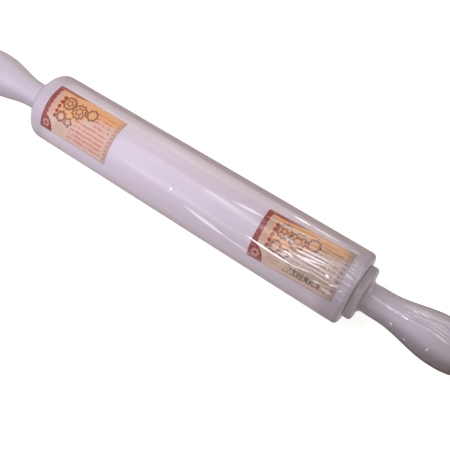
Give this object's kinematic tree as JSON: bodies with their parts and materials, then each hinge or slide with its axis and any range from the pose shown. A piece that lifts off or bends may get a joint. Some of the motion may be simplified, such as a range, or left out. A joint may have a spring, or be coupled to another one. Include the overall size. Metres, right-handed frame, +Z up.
{
  "type": "rolling pin",
  "caption": "Plastic rolling pin: a thick cylindrical barrel that turns on ball bearings between two moulded handles fixed to a steel axle.",
  "frame": {"origin": "on the surface that the barrel lies on, midway along the barrel and straight under its axis", "axes": "+X along the barrel's axis, towards the right-hand handle; +Z up; -Y towards the side that the labels lean to"},
  "size_m": [0.633, 0.075, 0.0755],
  "materials": {
    "barrel_plastic": "gloss",
    "handle_plastic": "gloss",
    "label_paper": "satin",
    "axle_steel": "satin",
    "bearing_steel": "polished",
    "cage_plastic": "matte"
  },
  "bodies": {
    "roller": {"roller_barrel": "barrel_plastic", "label_left": "label_paper", "label_right": "label_paper", "bearing_outer_ring_left": "bearing_steel", "bearing_outer_ring_right": "bearing_steel", "bearing_front_shield_left": "axle_steel", "bearing_front_shield_right": "axle_steel", "bearing_back_shield_left": "axle_steel", "bearing_back_shield_right": "axle_steel", "retaining_ring_left": "axle_steel", "retaining_ring_right": "axle_steel"},
    "handles": {"axle": "axle_steel", "bearing_inner_ring_left": "bearing_steel", "bearing_inner_ring_right": "bearing_steel", "spacer_bush_left": "axle_steel", "spacer_bush_right": "axle_steel", "handle_left": "handle_plastic", "handle_right": "handle_plastic", "washer_left": "axle_steel", "washer_right": "axle_steel", "nut_left": "axle_steel", "nut_right": "axle_steel", "end_plug_left": "handle_plastic", "end_plug_right": "handle_plastic"},
    "cage_left": {"bearing_cage_left": "cage_plastic", "bearing_ball_left_1": "bearing_steel", "bearing_ball_left_2": "bearing_steel", "bearing_ball_left_3": "bearing_steel", "bearing_ball_left_4": "bearing_steel", "bearing_ball_left_5": "bearing_steel", "bearing_ball_left_6": "bearing_steel", "bearing_ball_left_7": "bearing_steel", "bearing_ball_left_8": "bearing_steel"},
    "cage_right": {"bearing_cage_right": "cage_plastic", "bearing_ball_right_1": "bearing_steel", "bearing_ball_right_2": "bearing_steel", "bearing_ball_right_3": "bearing_steel", "bearing_ball_right_4": "bearing_steel", "bearing_ball_right_5": "bearing_steel", "bearing_ball_right_6": "bearing_steel", "bearing_ball_right_7": "bearing_steel", "bearing_ball_right_8": "bearing_steel"}
  },
  "joints": [
    {"name": "handle_spin", "type": "hinge", "parent": "roller", "child": "handles", "pos_m": [0, 0, 0.0375], "axis": [1, 0, 0], "continuous": true},
    {"name": "cage_left_spin", "type": "hinge", "parent": "roller", "child": "cage_left", "pos_m": [-0.182, 0, 0.0375], "axis": [1, 0, 0], "continuous": true},
    {"name": "cage_right_spin", "type": "hinge", "parent": "roller", "child": "cage_right", "pos_m": [0.182, 0, 0.0375], "axis": [1, 0, 0], "continuous": true}
  ],
  "couplings": [
    {"joint": "cage_left_spin", "follows": "handle_spin", "ratio": 0.381},
    {"joint": "cage_right_spin", "follows": "handle_spin", "ratio": 0.381}
  ]
}
